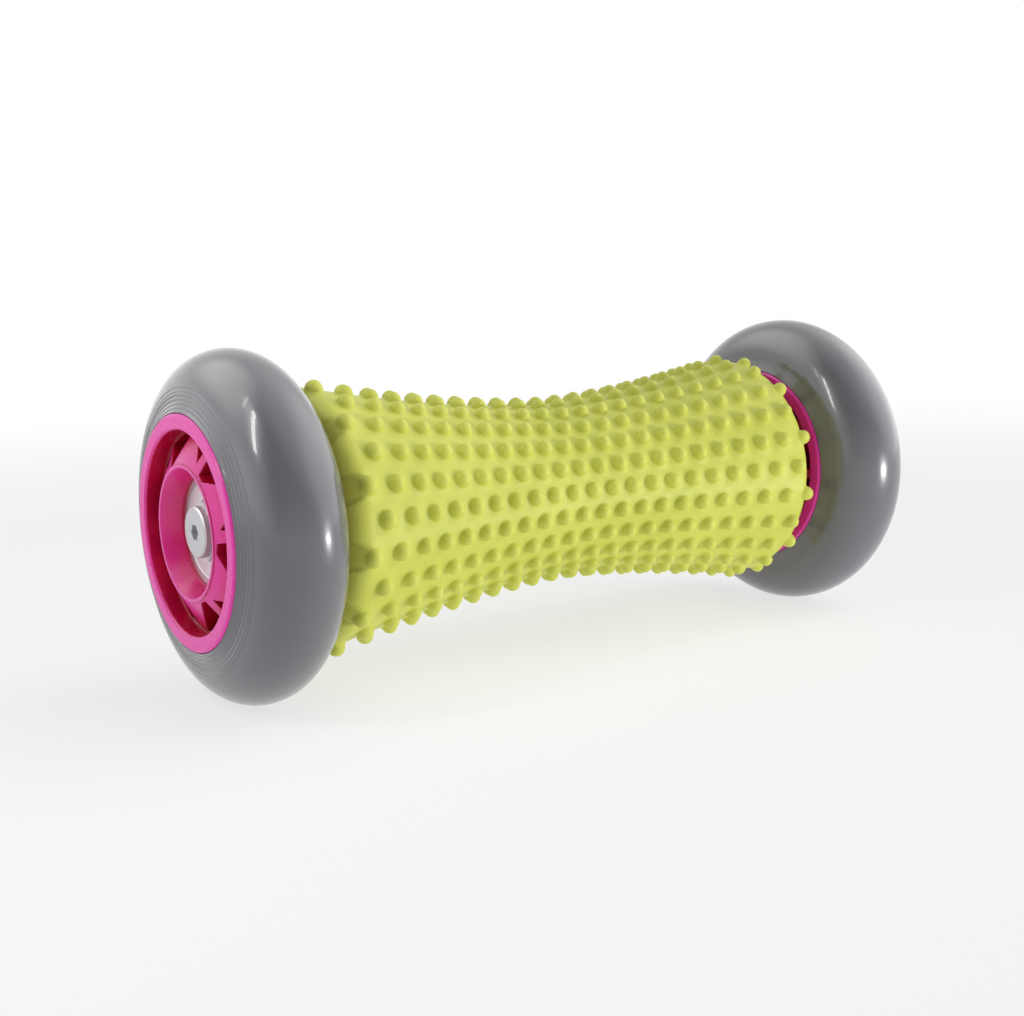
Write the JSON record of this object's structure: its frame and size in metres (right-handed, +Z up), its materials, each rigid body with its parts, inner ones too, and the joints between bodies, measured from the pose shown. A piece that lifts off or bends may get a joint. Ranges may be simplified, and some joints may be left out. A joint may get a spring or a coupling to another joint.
{
  "type": "foot massage roller",
  "caption": "Dumb-bell foot massage roller: a studded hourglass sleeve on a rigid core between two ball-bearing wheels.",
  "frame": {"origin": "on the floor, below the middle of the axle (bottom centre of the box)", "axes": "+X along the axle, towards the right wheel; +Z up"},
  "size_m": [0.176, 0.072, 0.072],
  "materials": {
    "tyre": "glossy cast polyurethane",
    "hub": "glossy moulded",
    "sleeve": "satin moulded elastomer",
    "core": "matte moulded",
    "spacer": "turned",
    "steel": "ground",
    "shield": "satin pressed",
    "ball": "polished",
    "screw": "satin plated"
  },
  "bodies": {
    "axle_core": {"massage_sleeve": "sleeve", "core_tube": "core", "axle": "steel", "left_core_plug": "core", "left_collar": "spacer", "left_bearing_spacer": "spacer", "left_washer": "steel", "left_screw": "screw", "right_core_plug": "core", "right_collar": "spacer", "right_bearing_spacer": "spacer", "right_washer": "steel", "right_screw": "screw", "left_inboard_inner_ring": "steel", "left_outboard_inner_ring": "steel", "right_inboard_inner_ring": "steel", "right_outboard_inner_ring": "steel"},
    "left_wheel": {"left_tyre": "tyre", "left_hub": "hub", "left_inboard_outer_ring": "steel", "left_inboard_shields": "shield", "left_outboard_outer_ring": "steel", "left_outboard_shields": "shield"},
    "right_wheel": {"right_tyre": "tyre", "right_hub": "hub", "right_inboard_outer_ring": "steel", "right_inboard_shields": "shield", "right_outboard_outer_ring": "steel", "right_outboard_shields": "shield"},
    "left_inboard_ball_set": {"left_inboard_balls": "ball", "left_inboard_cage": "steel"},
    "left_outboard_ball_set": {"left_outboard_balls": "ball", "left_outboard_cage": "steel"},
    "right_inboard_ball_set": {"right_inboard_balls": "ball", "right_inboard_cage": "steel"},
    "right_outboard_ball_set": {"right_outboard_balls": "ball", "right_outboard_cage": "steel"}
  },
  "joints": [
    {"name": "left_wheel_spin", "type": "hinge", "parent": "axle_core", "child": "left_wheel", "pos_m": [-0.0765, 0, 0.036], "axis": [1, 0, 0], "continuous": true},
    {"name": "right_wheel_spin", "type": "hinge", "parent": "axle_core", "child": "right_wheel", "pos_m": [0.0765, 0, 0.036], "axis": [1, 0, 0], "continuous": true},
    {"name": "left_inboard_balls_orbit", "type": "hinge", "parent": "axle_core", "child": "left_inboard_ball_set", "pos_m": [-0.0685, 0, 0.036], "axis": [1, 0, 0], "continuous": true},
    {"name": "left_outboard_balls_orbit", "type": "hinge", "parent": "axle_core", "child": "left_outboard_ball_set", "pos_m": [-0.0795, 0, 0.036], "axis": [1, 0, 0], "continuous": true},
    {"name": "right_inboard_balls_orbit", "type": "hinge", "parent": "axle_core", "child": "right_inboard_ball_set", "pos_m": [0.0685, 0, 0.036], "axis": [1, 0, 0], "continuous": true},
    {"name": "right_outboard_balls_orbit", "type": "hinge", "parent": "axle_core", "child": "right_outboard_ball_set", "pos_m": [0.0795, 0, 0.036], "axis": [1, 0, 0], "continuous": true}
  ],
  "couplings": [
    {"joint": "left_inboard_balls_orbit", "follows": "left_wheel_spin", "ratio": 0.6323},
    {"joint": "left_outboard_balls_orbit", "follows": "left_wheel_spin", "ratio": 0.6323},
    {"joint": "right_inboard_balls_orbit", "follows": "right_wheel_spin", "ratio": 0.6323},
    {"joint": "right_outboard_balls_orbit", "follows": "right_wheel_spin", "ratio": 0.6323}
  ]
}
